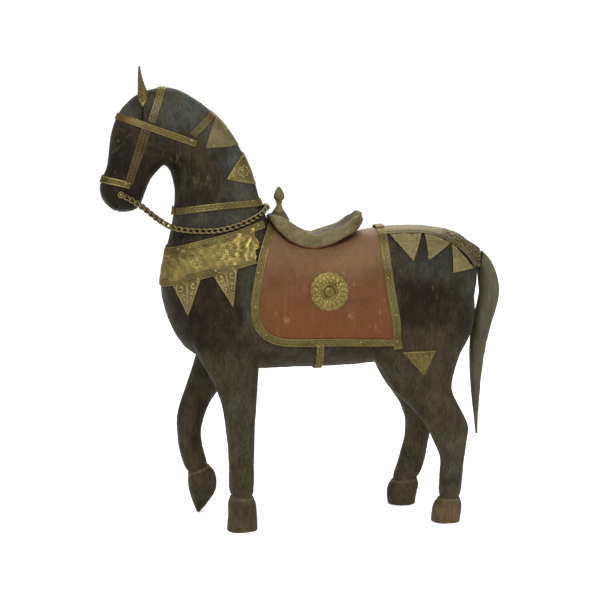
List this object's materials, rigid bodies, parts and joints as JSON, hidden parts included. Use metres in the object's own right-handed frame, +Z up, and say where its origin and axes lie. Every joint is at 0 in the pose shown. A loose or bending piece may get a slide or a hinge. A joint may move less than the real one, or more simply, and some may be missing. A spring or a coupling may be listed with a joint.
{
  "type": "wooden horse sculpture",
  "caption": "Standing carved wooden horse with a raised foreleg, clad in embossed brass straps, with a copper blanket, a trough saddle, a chain rein and a hanging tail.",
  "frame": {"origin": "on the ground, under the middle of the whole in length and width", "axes": "+Z up, the horse faces -X, its left side is -Y"},
  "size_m": [0.5286, 0.1224, 0.6],
  "materials": {
    "carved_wood": "dark oiled carved hardwood with worn patina",
    "tail_wood": "smooth olive-brown patinated wood",
    "aged_brass": "embossed strip, aged olive-gold",
    "bright_brass": "embossed sheet, rubbed brighter",
    "dark_brass": "grey-olive tarnished sheet",
    "copper_sheet": "brown-pink to rust-orange aged copper sheet",
    "chain_brass": "dark brass chain with bright edges"
  },
  "bodies": {
    "root": {"carved_body": "carved_wood", "tail": "tail_wood", "dock_plate": "dark_brass", "back_strip": "dark_brass", "saddle": "dark_brass", "saddle_knob": "dark_brass", "saddle_blanket": "copper_sheet", "blanket_rear_band": "aged_brass", "girth_strap": "aged_brass", "brow_band": "aged_brass", "crown_band": "aged_brass", "nape_band": "aged_brass", "nose_band": "aged_brass", "rein_chain": "chain_brass", "neck_band": "aged_brass", "collar_top_band": "aged_brass", "collar_bottom_band": "aged_brass", "breast_plate": "bright_brass", "mane_plate_upper": "bright_brass", "mane_plate_lower": "bright_brass", "ear_left": "dark_brass", "ear_right": "dark_brass", "blanket_edge_left": "aged_brass", "blanket_edge_right": "aged_brass", "rosette_left": "bright_brass", "rosette_right": "bright_brass", "cheek_strap_left": "aged_brass", "cheek_strap_right": "aged_brass", "bit_stud_left": "bright_brass", "bit_stud_right": "bright_brass", "breast_pendant_front_left": "bright_brass", "breast_pendant_front_right": "bright_brass", "breast_pendant_rear_left": "bright_brass", "breast_pendant_rear_right": "bright_brass", "rump_triangle_front_left": "bright_brass", "rump_triangle_front_right": "bright_brass", "rump_triangle_middle_left": "bright_brass", "rump_triangle_middle_right": "bright_brass", "rump_triangle_rear_left": "bright_brass", "rump_triangle_rear_right": "bright_brass", "haunch_triangle_left": "bright_brass", "haunch_triangle_right": "bright_brass"}
  },
  "joints": []
}
